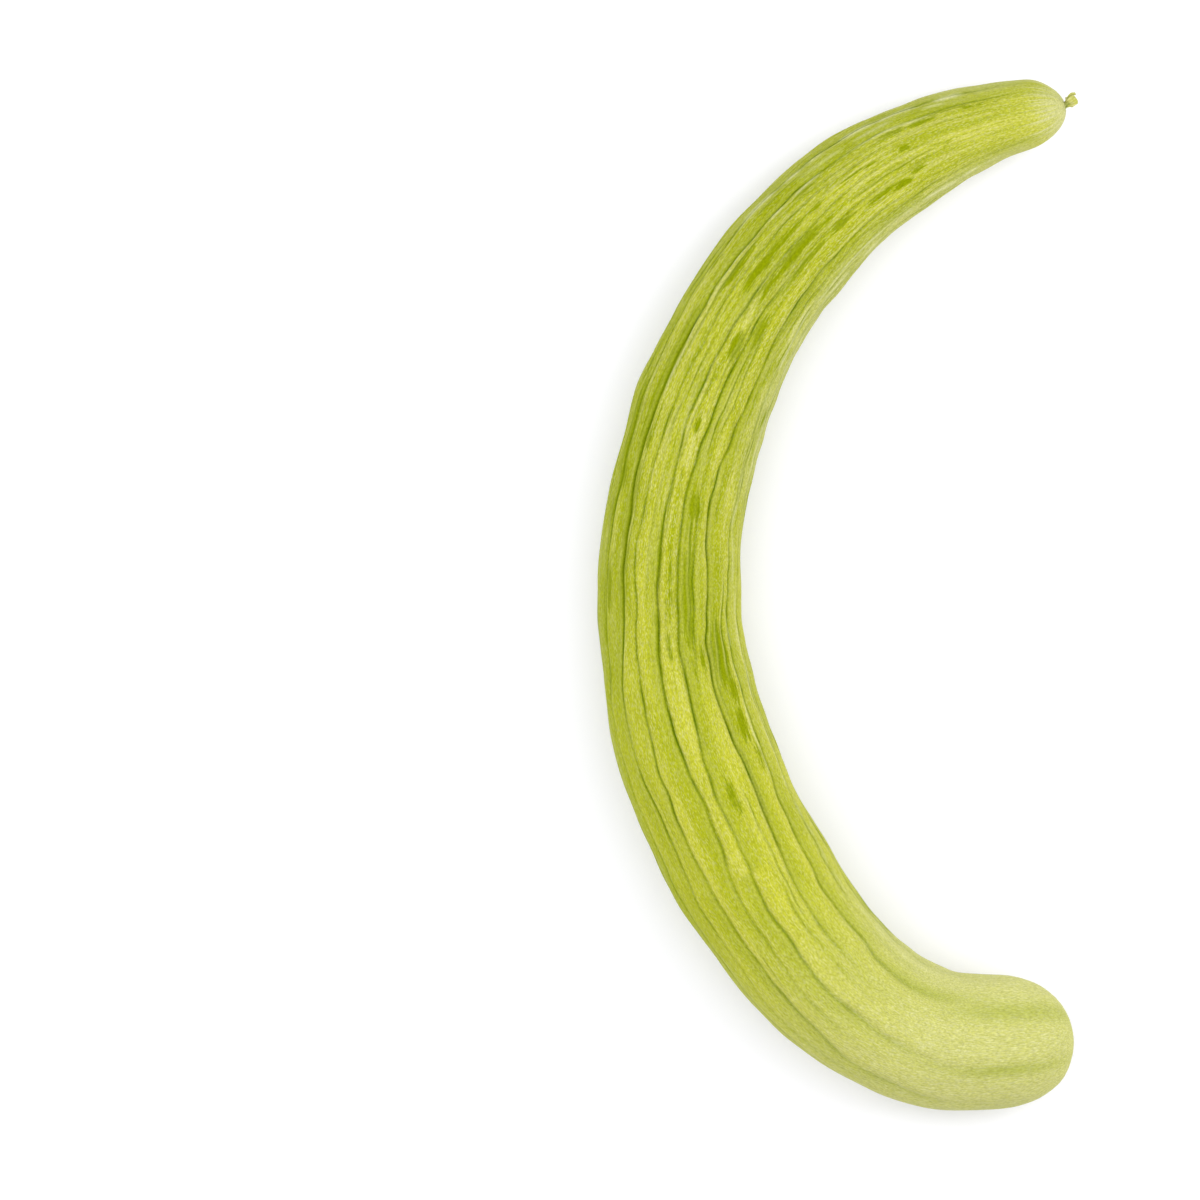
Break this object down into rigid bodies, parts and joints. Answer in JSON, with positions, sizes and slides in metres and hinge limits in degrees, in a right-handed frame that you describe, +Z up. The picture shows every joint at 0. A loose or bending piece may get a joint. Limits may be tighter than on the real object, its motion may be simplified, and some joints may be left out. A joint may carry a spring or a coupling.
{
  "type": "cucumber",
  "caption": "Long ribbed pale-green snake melon, sold as a cucumber: bent like a C, narrow at the flower end and blunt at the stalk end, lying as picked.",
  "frame": {"origin": "middle of the whole thing's box as it lies, on the surface that it rests on", "axes": "+Z up; +Y along the longest extent, from the blunt stalk end to the narrow flower end; the open side of the bend faces +X"},
  "size_m": [0.1684, 0.3608, 0.0532],
  "materials": {
    "skin": "downy, slightly shiny fruit skin",
    "petal": "withered, matt",
    "stalk": "fresh green stalk, matt"
  },
  "bodies": {
    "root": {"fruit": "skin", "dried_flower": "petal", "stalk_stub": "stalk"}
  },
  "joints": []
}
